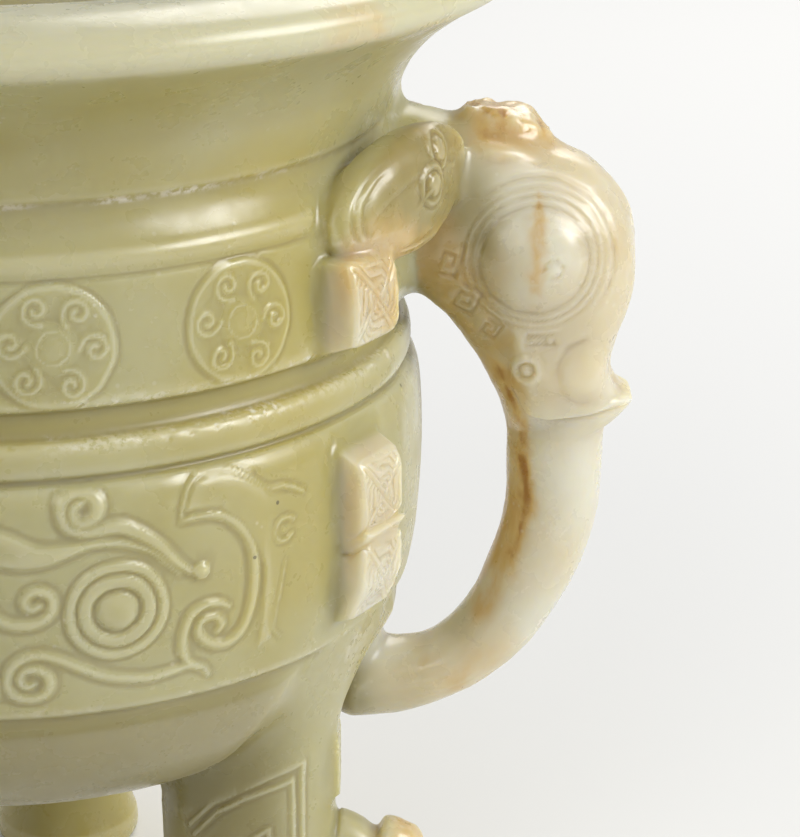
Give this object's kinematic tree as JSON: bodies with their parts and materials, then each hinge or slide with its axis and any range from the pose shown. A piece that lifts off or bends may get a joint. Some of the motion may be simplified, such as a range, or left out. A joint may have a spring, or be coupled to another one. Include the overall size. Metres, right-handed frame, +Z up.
{
  "type": "tripod vessel",
  "caption": "Carved jade tripod vessel of the ding kind, with a flared lip, beast-head loop handles, hatched flanges and low relief.",
  "frame": {"origin": "on the ground at the centre of the body's axis, level with the undersides of the feet", "axes": "+Z up along the body's axis, -Y towards the viewer of the front, +X and -X towards the handles"},
  "size_m": [0.2096, 0.172, 0.1882],
  "materials": {
    "jade": "polished, waxy"
  },
  "bodies": {
    "root": {"vessel": "jade"}
  },
  "joints": []
}
